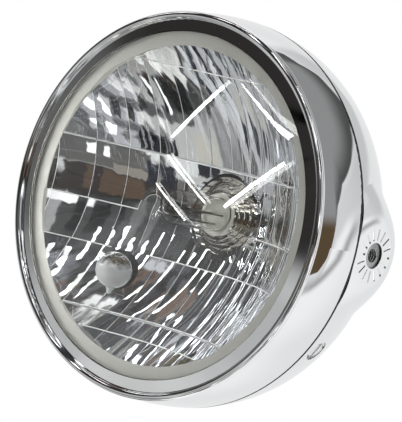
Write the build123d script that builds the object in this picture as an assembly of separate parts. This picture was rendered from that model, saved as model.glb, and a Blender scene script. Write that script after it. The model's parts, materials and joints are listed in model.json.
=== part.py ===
from build123d import *
import math
import os

# Round motorcycle headlight, in millimetres.
# The front faces -Y, +Z is up, and the two side mounts point along X.
# Each piece is laid out with its depth measured back from the crest of the rim's bead.
# write() then moves it so that the origin lies at the middle of the lamp's box.

# Sheet steel of the rim and the bucket
sheet = 1.0

# Lens: a domed glass with a flange under the rim and a skirt that stands in the reflector
opening_radius = 84.2
lens_gap = 0.4
lens_crown = 7.0
lens_sink = 0.55
lens_thickness = 3.6
lens_flange_width = 5.1
skirt_thickness = 3.6
skirt_length = 6.2
gasket_inset = 1.0
gasket_width = 3.4
gasket_thickness = 0.5
seal_thickness = 1.0

# Rim: sloping inner band, rolled bead, swept side and a turned-in rear edge
band_rise = 1.0
bead_radius = 2.05
bead_wrap = 40.0
bead_clearance = 1.1
rim_flare = 3.8
rim_belly = 0.7
rim_depth = 31.0
rim_turn = 1.5
rim_lip = 0.7

# Reflector: a paraboloid cut into columns and rows, with a channel for the lens around it
channel_clearance = 0.4
channel_wall = 1.5
channel_floor = 2.2
channel_lead = 1.1
ledge_gap = 0.6
ledge_width = 7.9
focal_length = 31.5
reflector_wall = 4.0
column_width = 12.5
row_lines = (-80.0, -67.0, -58.0, -28.0, -7.0, 22.0, 66.0, 80.0)
column_step = 0.5
row_step = 0.9
flute_depth = 0.55
neck_radius = 21.0
neck_boss_radius = 31.0

# Bucket: a spigot inside the rim, a shoulder at the seam and an elliptical bowl
seam = 0.7
shoulder_drop = 0.7
shoulder_round = 0.8
spigot_gap = 1.2
spigot_length = 5.7
bowl_depth = 72.0
rear_flat_radius = 20.0
cable_hole_radius = 11.0
drain_radius = 2.5
drain_offset = 14.0

# Side mounts: a flat round pad with radial grooves, and a flanged nut behind it
mount_setback = 46.5
pad_proud = 0.2
pad_radius = 13.5
pad_skirt = 21.0
pad_draft = 36.0
mount_hole_radius = 6.25
groove_count = 16
groove_width = 1.0
groove_depth = 0.6
groove_inner = 7.4
groove_outer = 12.8
nut_flange_radius = 10.0
nut_flange_thickness = 2.0
nut_across_flats = 13.0
nut_height = 8.0
nut_bore_radius = 3.4

# Rim fixing: two screws in dimples, brackets and nuts inside the rim, one hook at the top
rim_screw_angles = (-32.3, 212.3)
rim_screw_offset = 9.0
dimple_radius = 5.8
dimple_depth = 3.0
screw_hole_radius = 2.7
screw_head_radius = 4.2
screw_head_height = 2.4
screw_shank_radius = 2.4
screw_length = 12.0
screw_slot_width = 1.2
screw_slot_depth = 1.0
bracket_plate = 1.5
bracket_width = 12.0
bracket_front = 14.0
bracket_foot = 5.0
bracket_tail = 7.0
bracket_bore_radius = 2.5
bracket_fit = 0.2
weld_fit = 0.05
square_nut = 8.0
square_nut_height = 4.0
hook_angle = 90.0
hook_reach = 3.0
hook_fit = 0.35

# Spring clips that press the reflector's flange against the rim
clip_angles = (30.0, 150.0, 240.0, 300.0)
clip_wire_radius = 0.9
clip_half_width = 15.0
clip_press_half_width = 6.5
clip_fit = 0.1
clip_bend = 1.6
clip_rise = 6.5

# Main bulb
bulb_flange_radius = 21.5
bulb_flange_thickness = 1.3
bulb_fit = 0.3
bulb_seat_lip = 2.4
bulb_collar_radius = 11.0
bulb_collar_length = 7.3
bulb_collar_round = 0.8
bulb_cap_radius = 12.5
bulb_cap_length = 13.5
bulb_glass_radius = 8.6
bulb_glass_wall = 0.9
bulb_glass_length = 40.0
filament_offset = 29.0
filament_radius = 0.8
filament_length = 5.0
filament_pitch = 8.5
lead_radius = 0.45
lead_spread = 3.3
lead_fit = 0.1
shield_radius = 4.4
shield_wall = 0.4
shield_length = 8.0
insulator_radius = 10.5
insulator_thickness = 2.5
blade_width = 8.0
blade_thickness = 0.8
blade_length = 12.0
blade_offset = 7.0

# Spring and boot behind the main bulb
spring_wire_radius = 0.8
spring_half_width = 14.2
spring_top = 21.5
spring_shoulder = 18.0
spring_foot = 26.6
spring_foot_half_width = 4.0
spring_bend = 3.0
spring_fit = 0.05
catch_thickness = 2.2
catch_length = 5.0
spring_screw_drop = 23.6
spring_screw_radius = 1.5
spring_screw_head_radius = 3.6
spring_screw_head_height = 1.8
spring_screw_length = 4.0
boot_wall = 2.0
boot_fit = 0.2
boot_skirt = 4.0
boot_headroom = 6.0
boot_cone = 7.0
boot_lip = 3.0

# Position bulb, in a boss on the lower left of the reflector
position_x = -39.4
position_z = -37.9
position_yaw = 30.0
position_bore_radius = 9.8
position_boss_wall = 3.4
position_boss_depth = 16.0
position_boss_lead = 12.0
holder_fit = 0.2
holder_inset = 10.0
holder_flange_thickness = 2.0
holder_cap_length = 6.0
position_cap_radius = 7.5
position_cap_fit = 0.1
position_cap_length = 13.0
position_globe_radius = 9.0
position_globe_centre = 11.0
position_neck_radius = 6.2
position_glass_wall = 0.7
position_filament_radius = 0.5
position_filament_length = 6.0
position_lead_radius = 0.35

# Cable grommet in the bucket's rear flat
grommet_bore_radius = 6.0
grommet_flange_radius = 14.5
grommet_flange_thickness = 3.9
grommet_inner_flange = 2.0
grommet_round = 1.0
grommet_fit = 0.1

# Places that follow from the sizes above
lip_depth = bead_radius - band_rise
dome_radius = opening_radius - lens_gap
dome_depth = lip_depth + lens_sink
lens_radius = dome_radius + lens_flange_width
skirt_inner = lens_radius - skirt_thickness
channel_outer = lens_radius + channel_clearance
channel_inner = skirt_inner - channel_clearance
flange_radius = channel_outer + channel_wall
bead_centre = flange_radius + bead_clearance
band_width = bead_centre - bead_radius - opening_radius
band_angle = math.atan2(band_rise, band_width)
rim_radius = bead_centre + rim_flare
lip_inner = rim_radius - rim_turn - rim_lip
bucket_radius = rim_radius - shoulder_drop
spigot_radius = lip_inner - spigot_gap
shoulder = rim_depth + seam
rear = shoulder + bowl_depth * math.sqrt(1 - (rear_flat_radius / bucket_radius) ** 2)
box_middle = (rear + grommet_flange_thickness - lens_crown) / 2
gasket_inner = opening_radius + gasket_inset
gasket_outer = gasket_inner + gasket_width


def band_underside(radius):
    """Depth of the band's hidden face at a radius."""
    slope = math.tan(band_angle)
    return lip_depth + (radius - opening_radius) * slope + sheet / math.cos(band_angle)


lens_flange_depth = band_underside(gasket_outer) + gasket_thickness
skirt_depth = lens_flange_depth + skirt_length
floor_depth = skirt_depth + seal_thickness
flange_depth = floor_depth + channel_floor
inner_dome_depth = dome_depth + lens_thickness
ledge_depth = inner_dome_depth + ledge_gap
mirror_radius = channel_inner - ledge_width
vertex = ledge_depth + mirror_radius ** 2 / (4 * focal_length)
bulb_seat = vertex
boss_rear = bulb_seat + bulb_flange_thickness
filament_depth = bulb_seat - filament_offset
pad_face = bucket_radius + pad_proud
mirror_at_neck = vertex - neck_radius ** 2 / (4 * focal_length)


def mirror_depth(x, z):
    """Depth of the smooth paraboloid that the mirror's cells follow."""
    return vertex - (x * x + z * z) / (4 * focal_length)


def bowl_radius(depth):
    """Outer radius of the bucket's bowl at a depth."""
    return bucket_radius * math.sqrt(1 - ((depth - shoulder) / bowl_depth) ** 2)


# Rim's side: one shallow arc from the bead to the turned-in edge
wrap = math.radians(bead_wrap)
side_start = (bead_centre + bead_radius * math.cos(wrap), bead_radius * (1 + math.sin(wrap)))
side_end = (rim_radius, rim_depth - rim_turn)
side_run = (side_end[0] - side_start[0], side_end[1] - side_start[1])
side_chord = math.hypot(*side_run)
side_normal = (side_run[1] / side_chord, -side_run[0] / side_chord)
side_middle = tuple((a + b) / 2 for a, b in zip(side_start, side_end))
side_crown = tuple(m + rim_belly * n for m, n in zip(side_middle, side_normal))
side_curve = (side_chord ** 2 / 4 + rim_belly ** 2) / (2 * rim_belly)
side_centre = tuple(c - side_curve * n for c, n in zip(side_crown, side_normal))


def rim_inside(depth):
    """Inner radius of the rim's side at a depth."""
    return side_centre[0] + math.sqrt((side_curve - sheet) ** 2 - (depth - side_centre[1]) ** 2)


def spin(lines):
    """Solid of revolution about the lamp's axis from a closed outline of radius and depth."""
    return revolve(make_face(lines), Axis.Y)


def outline(*points):
    """Closed outline of straight lines."""
    return Polyline(*points, close=True)


def ring(inner, outer, front, back):
    """Plain ring about the lamp's axis."""
    return spin(outline((inner, front), (outer, front), (outer, back), (inner, back)))


def rod(radius, front, back):
    """Plain round bar along the lamp's axis."""
    return spin(outline((0, front), (radius, front), (radius, back), (0, back)))


def at_angle(shape, angle):
    """Turn a piece laid out along +X to its place round the lamp's axis."""
    return Rot(0, -angle, 0) * shape


def peg(radius, inner, outer, depth):
    """Round bar that points outward along +X at a depth."""
    return Pos(inner, depth, 0) * Rot(0, 90, 0) * extrude(Circle(radius), outer - inner)


def wire(points, radius, bend):
    """Bent wire through the points."""
    path = FilletPolyline(*points, radius=bend)
    section = Plane(path @ 0, z_dir=path % 0) * Circle(radius)
    return sweep(section, path)


def group(shapes):
    """Like pieces that share one node."""
    return Compound(children=[shape.solid() for shape in shapes])


def write(name, shape):
    """Write one piece, with the origin at the middle of the lamp's box."""
    placed = Pos(0, -box_middle, 0) * shape
    export_step(placed, "parts/" + name + ".step")


def make_rim():
    lip = (opening_radius, lip_depth)
    foot = (bead_centre - bead_radius, bead_radius)
    crest = (bead_centre, 0)
    turn_middle = (
        rim_radius - rim_turn * (1 - math.sqrt(0.5)),
        rim_depth - rim_turn * (1 - math.sqrt(0.5)),
    )
    turn_end = (rim_radius - rim_turn, rim_depth)
    face_line = Wire([
        Line(lip, foot),
        ThreePointArc(foot, crest, side_start),
        ThreePointArc(side_start, side_crown, side_end),
        ThreePointArc(side_end, turn_middle, turn_end),
        Line(turn_end, (lip_inner, rim_depth)),
    ])
    return revolve(make_face(face_line.offset_2d(sheet, side=Side.LEFT)), Axis.Y)


def make_rim_seal():
    outer = rim_radius - rim_turn + sheet / 2
    return ring(spigot_radius + channel_clearance, outer, rim_depth, shoulder)


def make_lens_gasket():
    return spin(outline(
        (gasket_inner, band_underside(gasket_inner)),
        (gasket_outer, band_underside(gasket_outer)),
        (gasket_outer, lens_flange_depth),
        (gasket_inner, lens_flange_depth),
    ))


def make_lens():
    apex = (0, -lens_crown)
    inner_apex = (0, lens_thickness - lens_crown)
    return spin([
        TangentArc(apex, (dome_radius, dome_depth), tangent=(1, 0)),
        Polyline(
            (dome_radius, dome_depth),
            (dome_radius, lens_flange_depth),
            (lens_radius, lens_flange_depth),
            (lens_radius, skirt_depth),
            (skirt_inner, skirt_depth),
            (skirt_inner, inner_dome_depth),
        ),
        TangentArc(inner_apex, (skirt_inner, inner_dome_depth), tangent=(1, 0)),
        Line(inner_apex, apex),
    ])


def make_lens_seal():
    return ring(channel_inner, channel_outer, skirt_depth, floor_depth)


def mirror_cell(x0, x1, z0, z1, drop):
    """Space in front of one cell of the mirror: a shallow flute, carried up along an arc."""
    middle_x = (x0 + x1) / 2
    middle_z = (z0 + z1) / 2
    left = (x0, mirror_depth(x0, z0) + drop)
    right = (x1, mirror_depth(x1, z0) + drop)
    hollow = (middle_x, (left[1] + right[1]) / 2 + flute_depth)
    flute = Plane.XY.offset(z0) * make_face([
        ThreePointArc(left, hollow, right),
        Polyline(right, (x1, -vertex), (x0, -vertex), left),
    ])
    rise = ThreePointArc(*((x0, mirror_depth(x0, z) + drop, z) for z in (z0, middle_z, z1)))
    return sweep(flute, rise, normal=(0, 0, 1))


def mirror_cells():
    """All cells that reach inside the mirror's edge."""
    count = math.ceil(mirror_radius / column_width)
    cells = []
    for row in range(len(row_lines) - 1):
        z0 = row_lines[row]
        z1 = row_lines[row + 1]
        for column in range(-count, count):
            x0 = column * column_width
            x1 = x0 + column_width
            near_x = min(abs(x0), abs(x1))
            near_z = 0 if z0 < 0 < z1 else min(abs(z0), abs(z1))
            if math.hypot(near_x, near_z) < mirror_radius:
                drop = row_step * (row % 2) + column_step * (column % 2)
                cells.append(mirror_cell(x0, x1, z0, z1, drop))
    return cells


position_place = Location(
    (position_x, mirror_depth(position_x, position_z), position_z),
    (0, 0, position_yaw),
)


def make_reflector():
    back_rim = math.sqrt(
        mirror_radius ** 2 - 4 * focal_length * (flange_depth - ledge_depth - reflector_wall)
    )
    back_vertex = vertex + reflector_wall
    blank = spin([
        Bezier((0, back_vertex), (back_rim / 2, back_vertex), (back_rim, flange_depth)),
        Polyline(
            (back_rim, flange_depth),
            (flange_radius, flange_depth),
            (flange_radius, lens_flange_depth + channel_lead),
            (channel_outer, lens_flange_depth + channel_lead),
            (channel_outer, floor_depth),
            (channel_inner, floor_depth),
            (channel_inner, ledge_depth),
            (0, ledge_depth),
            (0, back_vertex),
        ),
    ])
    blank += rod(neck_boss_radius, ledge_depth + reflector_wall, boss_rear)
    boss_radius = position_bore_radius + position_boss_wall
    blank += position_place * rod(boss_radius, -position_boss_lead, position_boss_depth)
    shell = blank.cut(*mirror_cells())
    bore = bulb_flange_radius - bulb_seat_lip
    shell -= rod(neck_radius, ledge_depth, mirror_at_neck + channel_wall)
    shell -= rod(bore, ledge_depth, back_vertex + sheet)
    shell -= rod(bulb_flange_radius + bulb_fit, bulb_seat, back_vertex + sheet)
    shell -= position_place * rod(position_bore_radius, -position_boss_lead, position_boss_depth)
    shell -= make_spring_screw_hole()
    for side in (-1, 1):
        shell += Pos(side * (spring_half_width + spring_wire_radius), boss_rear, spring_top) * catch(side)
    return shell.solid()


def catch(side):
    """Moulded hook that holds one leg of the bulb spring."""
    height = 2 * spring_wire_radius + 2 * spring_fit
    overhang = 2 * spring_wire_radius + spring_fit
    post = Pos(side * (spring_fit + catch_thickness / 2), height / 2, 0) * Box(
        catch_thickness, height, catch_length
    )
    roof = Pos(side * (catch_thickness - overhang) / 2, height + catch_thickness / 4, 0) * Box(
        catch_thickness + overhang + 2 * spring_fit, catch_thickness / 2, catch_length
    )
    return post + roof


def make_spring_screw_hole():
    depth = spring_screw_length
    return Pos(0, 0, -spring_screw_drop) * rod(spring_screw_radius, boss_rear - depth, boss_rear)


def bowl_section(radius, depth, back):
    """Half section of the bowl as a solid shape, cut off flat at the back."""
    oval = Pos(0, shoulder) * Ellipse(radius, depth)
    limit = Pos(radius / 2, (shoulder + back) / 2) * Rectangle(radius, back - shoulder)
    return oval & limit


def pad_cone(face, radius):
    """Cone that widens inward from a pad's face."""
    cone = extrude(Circle(radius), pad_skirt, taper=-pad_draft)
    return Pos(face, mount_setback, 0) * Rot(0, -90, 0) * cone


def make_bucket():
    outside = revolve(bowl_section(bucket_radius, bowl_depth, rear), Axis.Y)
    outside = fillet(outside.edges().sort_by(Axis.Y)[0], shoulder_round)
    inside = revolve(bowl_section(bucket_radius - sheet, bowl_depth - sheet, rear - sheet), Axis.Y)
    inside -= ring(spigot_radius - sheet, bucket_radius, shoulder, shoulder + sheet)
    inner_face = pad_face - sheet
    shrink = sheet * math.tan(math.radians(45 - pad_draft / 2))
    for side in (0, 180):
        outside += at_angle(pad_cone(pad_face, pad_radius), side)
        inside += at_angle(pad_cone(inner_face, pad_radius - shrink), side)
    outside -= rod(2 * bucket_radius, 0, shoulder)
    inside -= rod(2 * bucket_radius, 0, shoulder)
    for angle in rim_screw_angles:
        recess = peg(dimple_radius, dimple_floor, bucket_radius + sheet, screw_depth)
        recess_inner = peg(dimple_radius + sheet, dimple_floor - sheet, bucket_radius, screw_depth)
        outside -= at_angle(recess, angle)
        inside -= at_angle(recess_inner, angle)
    shell = outside - inside
    shell += ring(spigot_radius - sheet, spigot_radius, shoulder - spigot_length, shoulder + sheet)
    return shell.cut(*bucket_holes()).solid()


def bucket_holes():
    """Every hole and pad groove of the bucket."""
    mount_hole = peg(mount_hole_radius, 0, pad_face + sheet, mount_setback)
    screw_hole = peg(screw_hole_radius, 0, bucket_radius, screw_depth)
    drain = peg(drain_radius, 0, bucket_radius, shoulder + drain_offset)
    length = groove_outer - groove_inner
    groove = Pos(pad_face - groove_depth / 2, 0, groove_inner + length / 2) * Box(
        groove_depth, groove_width, length
    )
    holes = [rod(cable_hole_radius, rear - 2 * sheet, rear + sheet), at_angle(drain, -90)]
    holes += [at_angle(screw_hole, angle) for angle in rim_screw_angles]
    for side in (0, 180):
        holes.append(at_angle(mount_hole, side))
        for step in range(groove_count):
            turned = Rot(step * 360 / groove_count, 0, 0) * groove
            holes.append(at_angle(Pos(0, mount_setback, 0) * turned, side))
    return holes


def make_mount_nut(side):
    back = pad_face - sheet
    flange = peg(nut_flange_radius, back - nut_flange_thickness, back, mount_setback)
    hexagon = RegularPolygon(nut_across_flats / 2, 6, major_radius=False)
    start = back - nut_flange_thickness - nut_height
    body = Pos(start, mount_setback, 0) * Rot(0, 90, 0) * extrude(hexagon, nut_height)
    nut = flange + body - peg(nut_bore_radius, 0, bucket_radius, mount_setback)
    return at_angle(nut, side).solid()


screw_depth = shoulder + rim_screw_offset
dimple_floor = bowl_radius(screw_depth) - dimple_depth
bracket_top = dimple_floor - sheet - bracket_fit
bracket_bend = bracket_front + bracket_foot


def weld_radius(depth):
    """Radius of a flat plate that lies against the rim's curved inside."""
    return math.sqrt(rim_inside(depth) ** 2 - (bracket_width / 2) ** 2) - weld_fit


def rim_bracket(top, tail):
    """Bent plate: a foot on the rim's inside, a step inward and a tail that runs back."""
    foot_front = weld_radius(bracket_front)
    foot_back = weld_radius(bracket_bend)
    profile = outline(
        (foot_front, bracket_front),
        (foot_back, bracket_bend),
        (top, bracket_bend),
        (top, tail),
        (top - bracket_plate, tail),
        (top - bracket_plate, bracket_bend - bracket_plate),
        (foot_back - bracket_plate, bracket_bend - bracket_plate),
        (foot_front - bracket_plate, bracket_front),
    )
    return extrude(make_face(profile), bracket_width / 2, both=True)


def make_rim_brackets():
    plate = rim_bracket(bracket_top, screw_depth + bracket_tail)
    plate -= peg(bracket_bore_radius, 0, bucket_radius, screw_depth)
    return group([at_angle(plate, angle) for angle in rim_screw_angles])


def make_rim_nuts():
    seat = bracket_top - bracket_plate
    block = Pos(seat - square_nut_height / 2, screw_depth, 0) * Box(
        square_nut_height, square_nut, square_nut
    )
    block -= peg(bracket_bore_radius, 0, bucket_radius, screw_depth)
    return group([at_angle(block, angle) for angle in rim_screw_angles])


def make_rim_screws():
    head_top = dimple_floor + screw_head_height
    head = peg(screw_head_radius, dimple_floor, head_top, screw_depth)
    head = fillet(head.edges().group_by(Axis.X)[-1], screw_head_height / 3)
    shank = peg(screw_shank_radius, dimple_floor - screw_length, dimple_floor, screw_depth)
    slot = Pos(head_top, screw_depth, 0) * Box(
        2 * screw_slot_depth, screw_slot_width, 2 * screw_head_radius
    )
    screw = head + shank - slot
    return group([at_angle(screw, angle) for angle in rim_screw_angles])


def make_rim_hook():
    top = spigot_radius - sheet - hook_fit
    hook = rim_bracket(top, shoulder - spigot_length + hook_reach)
    return at_angle(hook, hook_angle).solid()


def make_lamp_clips():
    catch_radius = rim_inside(rim_depth - rim_turn) - clip_wire_radius - clip_fit
    catch_depth = rim_depth - sheet - clip_wire_radius - clip_fit
    leave_depth = shoulder - spigot_length - 2 * clip_wire_radius
    press_radius = (channel_inner + channel_outer) / 2
    press_depth = flange_depth + clip_wire_radius + clip_fit
    rise_depth = press_depth + clip_rise
    half = [
        (catch_radius, catch_depth, clip_half_width),
        (catch_radius, leave_depth, clip_half_width - clip_bend),
        (press_radius, press_depth, clip_press_half_width),
        ((press_radius + catch_radius) / 2, rise_depth, 0),
    ]
    half = [(math.sqrt(radius ** 2 - z ** 2), y, z) for radius, y, z in half]
    mirrored = [(x, y, -z) for x, y, z in reversed(half[:-1])]
    clip = wire(half + mirrored, clip_wire_radius, clip_bend)
    return group([at_angle(clip, angle) for angle in clip_angles])


def make_bulb_cap():
    collar_front = bulb_seat - bulb_collar_length
    cap = spin(outline(
        (0, collar_front),
        (bulb_collar_radius - bulb_collar_round, collar_front),
        (bulb_collar_radius, collar_front + bulb_collar_round),
        (bulb_collar_radius, bulb_seat),
        (bulb_flange_radius, bulb_seat),
        (bulb_flange_radius, boss_rear),
        (bulb_cap_radius, boss_rear),
        (bulb_cap_radius, boss_rear + bulb_cap_length),
        (0, boss_rear + bulb_cap_length),
    ))
    return cap


def make_bulb_glass():
    base = bulb_seat - bulb_collar_length
    tip = base - bulb_glass_length
    inner_radius = bulb_glass_radius - bulb_glass_wall
    return spin([
        Line((bulb_glass_radius, base), (bulb_glass_radius, tip + bulb_glass_radius)),
        TangentArc((0, tip), (bulb_glass_radius, tip + bulb_glass_radius), tangent=(1, 0)),
        Line((0, tip), (0, tip + bulb_glass_wall)),
        TangentArc(
            (0, tip + bulb_glass_wall),
            (inner_radius, tip + bulb_glass_radius),
            tangent=(1, 0),
        ),
        Line((inner_radius, tip + bulb_glass_radius), (inner_radius, base)),
        Line((inner_radius, base), (bulb_glass_radius, base)),
    ])


def filament(depth):
    return rod(filament_radius, depth - filament_length / 2, depth + filament_length / 2)


dip_depth = filament_depth - filament_pitch


def make_bulb_shield():
    cup = ring(shield_radius - shield_wall, shield_radius, 0, shield_length)
    floor = ring(filament_radius + 2 * lead_radius, shield_radius, 0, shield_wall)
    lower = Pos(0, shield_length / 2, -shield_radius) * Box(
        4 * shield_radius, shield_length, 2 * shield_radius
    )
    cup = (cup + floor) & lower
    return (Pos(0, dip_depth - shield_length / 2, 0) * cup).solid()


def make_bulb_leads():
    """Three lead wires: one under the shield, one to each filament's front end."""
    base = bulb_seat - bulb_collar_length - lead_fit
    shield_end = dip_depth - shield_length / 2
    under = Pos(0, 0, -shield_radius - lead_radius) * rod(lead_radius, shield_end, base)
    bend = 2 * lead_radius
    leads = [under]
    for depth, x in ((filament_depth, lead_spread), (dip_depth, -lead_spread)):
        front = depth - filament_length / 2 - lead_radius
        path = [(0, front, 0), (x, front, 0), (x, base, 0)]
        leads.append(wire(path, lead_radius, bend))
    return group(leads)


def make_bulb_insulator():
    front = boss_rear + bulb_cap_length
    return rod(insulator_radius, front, front + insulator_thickness)


def make_bulb_terminals():
    front = boss_rear + bulb_cap_length + insulator_thickness
    blade = Pos(0, front + blade_length / 2, 0) * Box(blade_width, blade_length, blade_thickness)
    top = Pos(0, 0, blade_offset) * blade
    upright = Rot(0, 90, 0) * blade
    return group([top, Pos(blade_offset, 0, 0) * upright, Pos(-blade_offset, 0, 0) * upright])


def make_bulb_spring():
    depth = boss_rear + spring_wire_radius + spring_fit
    half = [
        (spring_half_width, depth, spring_top + catch_length / 2),
        (spring_half_width, depth, -spring_shoulder),
        (spring_foot_half_width, depth, -spring_foot),
    ]
    mirrored = [(-x, y, z) for x, y, z in reversed(half)]
    return wire(half + mirrored, spring_wire_radius, spring_bend).solid()


def make_bulb_spring_screw():
    under = boss_rear + 2 * spring_wire_radius + 2 * spring_fit
    head = rod(spring_screw_head_radius, under, under + spring_screw_head_height)
    shank = rod(spring_screw_radius, boss_rear - spring_screw_length, under)
    return (Pos(0, 0, -spring_screw_drop) * (head + shank)).solid()


def make_bulb_boot():
    grip = neck_boss_radius + boot_fit
    throat = bulb_cap_radius + boot_fit
    front = boss_rear - boot_skirt
    top = boss_rear + boot_headroom
    neck = top + boot_cone
    return spin(outline(
        (grip, front),
        (grip + boot_wall, front),
        (grip + boot_wall, top),
        (throat + boot_wall, neck),
        (throat + boot_wall, neck + boot_lip),
        (throat, neck + boot_lip),
        (throat, neck - boot_wall),
        (grip, top - boot_wall),
    ))


holder_bore = position_cap_radius + position_cap_fit
cap_back = holder_inset
cap_front = cap_back - position_cap_length


def make_position_holder():
    tube = position_bore_radius - holder_fit
    flange = position_bore_radius + position_boss_wall
    back = position_boss_depth + holder_flange_thickness
    return position_place * spin(outline(
        (holder_bore, cap_front + position_cap_length / 2),
        (tube, cap_front + position_cap_length / 2),
        (tube, position_boss_depth),
        (flange, position_boss_depth),
        (flange, back),
        (position_cap_radius, back),
        (position_cap_radius, back + holder_cap_length),
        (0, back + holder_cap_length),
        (0, cap_back),
        (holder_bore, cap_back),
    ))


def make_position_cap():
    return position_place * rod(position_cap_radius, cap_front, cap_back)


def globe_depth(radius, wall):
    """Depth at which the globe, or its inside, meets its neck."""
    reach = math.sqrt((position_globe_radius - wall) ** 2 - (radius - wall) ** 2)
    return reach - position_globe_centre


def make_position_glass():
    centre = -position_globe_centre
    outer = position_globe_radius
    inner = position_globe_radius - position_glass_wall
    neck = position_neck_radius
    neck_inner = neck - position_glass_wall
    neck_start = (neck, globe_depth(neck, 0))
    inner_start = (neck_inner, globe_depth(neck, position_glass_wall))
    glass = spin([
        Line((0, centre - outer), (0, centre - inner)),
        ThreePointArc((0, centre - inner), (inner, centre), inner_start),
        Polyline(inner_start, (neck_inner, cap_front), (neck, cap_front), neck_start),
        ThreePointArc(neck_start, (outer, centre), (0, centre - outer)),
    ])
    return position_place * glass


def make_position_filament():
    """Coil across two lead wires that stand on the cap."""
    half = position_filament_length / 2
    centre = -position_globe_centre
    coil = Pos(0, centre, 0) * Rot(0, 90, 0) * Cylinder(position_filament_radius, 2 * half)
    shape = coil
    for side in (-1, 1):
        shape += Pos(side * half, 0, 0) * rod(position_lead_radius, centre, cap_front)
    return (position_place * shape).solid()


def make_grommet():
    groove = cable_hole_radius - grommet_fit
    inside = rear - sheet
    front = inside - grommet_inner_flange
    back = rear + grommet_flange_thickness
    return spin(outline(
        (grommet_bore_radius, front),
        (grommet_flange_radius - grommet_round, front),
        (grommet_flange_radius - grommet_round, inside),
        (groove, inside),
        (groove, rear),
        (grommet_flange_radius, rear),
        (grommet_flange_radius, back - grommet_round),
        (grommet_flange_radius - grommet_round, back),
        (grommet_bore_radius, back),
    ))


os.makedirs("parts", exist_ok=True)
write("bucket", make_bucket())
write("rim", make_rim())
write("rim_seal", make_rim_seal())
write("lens", make_lens())
write("lens_gasket", make_lens_gasket())
write("lens_seal", make_lens_seal())
write("reflector", make_reflector())
write("lamp_clips", make_lamp_clips())
write("rim_brackets", make_rim_brackets())
write("rim_nuts", make_rim_nuts())
write("rim_screws", make_rim_screws())
write("rim_hook", make_rim_hook())
write("mount_nut_right", make_mount_nut(0))
write("mount_nut_left", make_mount_nut(180))
write("bulb_cap", make_bulb_cap())
write("bulb_glass", make_bulb_glass())
write("bulb_shield", make_bulb_shield())
write("bulb_main_filament", filament(filament_depth))
write("bulb_dip_filament", filament(dip_depth))
write("bulb_leads", make_bulb_leads())
write("bulb_insulator", make_bulb_insulator())
write("bulb_terminals", make_bulb_terminals())
write("bulb_spring", make_bulb_spring())
write("bulb_spring_screw", make_bulb_spring_screw())
write("bulb_boot", make_bulb_boot())
write("position_holder", make_position_holder())
write("position_cap", make_position_cap())
write("position_glass", make_position_glass())
write("position_filament", make_position_filament())
write("cable_grommet", make_grommet())
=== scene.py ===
"""Round motorcycle headlight: finishes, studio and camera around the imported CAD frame."""
import json
import math

import bpy
from mathutils import Matrix, Vector


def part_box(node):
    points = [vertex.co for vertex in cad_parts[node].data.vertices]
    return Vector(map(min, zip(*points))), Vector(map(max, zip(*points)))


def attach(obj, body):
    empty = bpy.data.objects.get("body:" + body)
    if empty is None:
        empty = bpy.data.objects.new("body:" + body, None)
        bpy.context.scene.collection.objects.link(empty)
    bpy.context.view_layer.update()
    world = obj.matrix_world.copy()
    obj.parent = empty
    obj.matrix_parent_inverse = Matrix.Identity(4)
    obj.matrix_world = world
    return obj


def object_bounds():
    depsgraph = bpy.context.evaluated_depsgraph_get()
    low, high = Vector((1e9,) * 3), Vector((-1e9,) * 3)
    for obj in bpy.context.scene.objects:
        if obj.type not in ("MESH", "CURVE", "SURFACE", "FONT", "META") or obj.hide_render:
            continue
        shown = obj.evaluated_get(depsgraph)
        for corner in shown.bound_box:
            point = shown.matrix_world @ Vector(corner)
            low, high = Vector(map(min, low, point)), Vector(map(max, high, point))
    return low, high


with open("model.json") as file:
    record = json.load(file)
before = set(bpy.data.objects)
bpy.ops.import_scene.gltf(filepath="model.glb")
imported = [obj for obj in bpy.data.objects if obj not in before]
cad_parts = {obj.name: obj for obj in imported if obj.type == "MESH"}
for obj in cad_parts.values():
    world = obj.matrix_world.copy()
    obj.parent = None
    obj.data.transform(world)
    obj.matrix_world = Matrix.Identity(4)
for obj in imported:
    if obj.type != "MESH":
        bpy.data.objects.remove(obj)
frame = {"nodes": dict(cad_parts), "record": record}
cad_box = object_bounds()
nodes = frame["nodes"]
scene = bpy.context.scene

# The lamp's own measures, in metres
BEAD_PLANE = -0.0484
LENS_APEX = -0.0565
LENS_SPHERE = 0.4126
MIRROR_EDGE = 0.0772
NECK_RADIUS = 0.021
POSITION_PLACE = (-0.0394, -0.0379)
POSITION_BORE = 0.0098
GLOBE_RADIUS = 0.009
# How far the crest of the rim's bead lies before the origin; depths are measured back from the crest
DEPTH_ORIGIN = 0.049493
# Cells of the mirror, ridges on their edges, and the ridges' distance from the position bulb in bore radii
COLUMN_WIDTH = 0.0125
ROW_LINES = (-0.080, -0.067, -0.058, -0.028, -0.007, 0.022, 0.066, 0.080)
COLUMN_STEP = 0.0005
ROW_STEP = 0.0009
FLUTE_DEPTH = 0.00055
FOCAL_LENGTH = 0.0315
MIRROR_VERTEX = 0.003367
ROW_RIDGE = 0.0003
COLUMN_RIDGE = 0.0001
RIDGE_STEPS = 12
BORE_MARGIN = 1.25
# Sealed tip of the position bulb: radius, and drop below the middle of its globe
PIP = (
    (0.0024, 0.0085), (0.0017, 0.0095), (0.0014, 0.0104),
    (0.0011, 0.0113), (0.0006, 0.0119), (0.00001, 0.0121),
)
# Turned steps round the main bulb's foot: radius and depth
BULB_STEPS = (
    (0.0110, 0.0470), (0.0125, 0.0470), (0.0128, 0.0473), (0.0128, 0.0489),
    (0.0142, 0.0489), (0.0145, 0.0492), (0.0145, 0.0508), (0.0162, 0.0508),
    (0.0167, 0.0513), (0.0167, 0.0529), (0.0110, 0.0529),
)
# Lip of the seal in the seam
SEAM_DEPTH = 0.03135
SEAM_RADIUS = 0.0951
SEAM_LIP = 0.0005
SEAM_STEPS = 180
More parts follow.
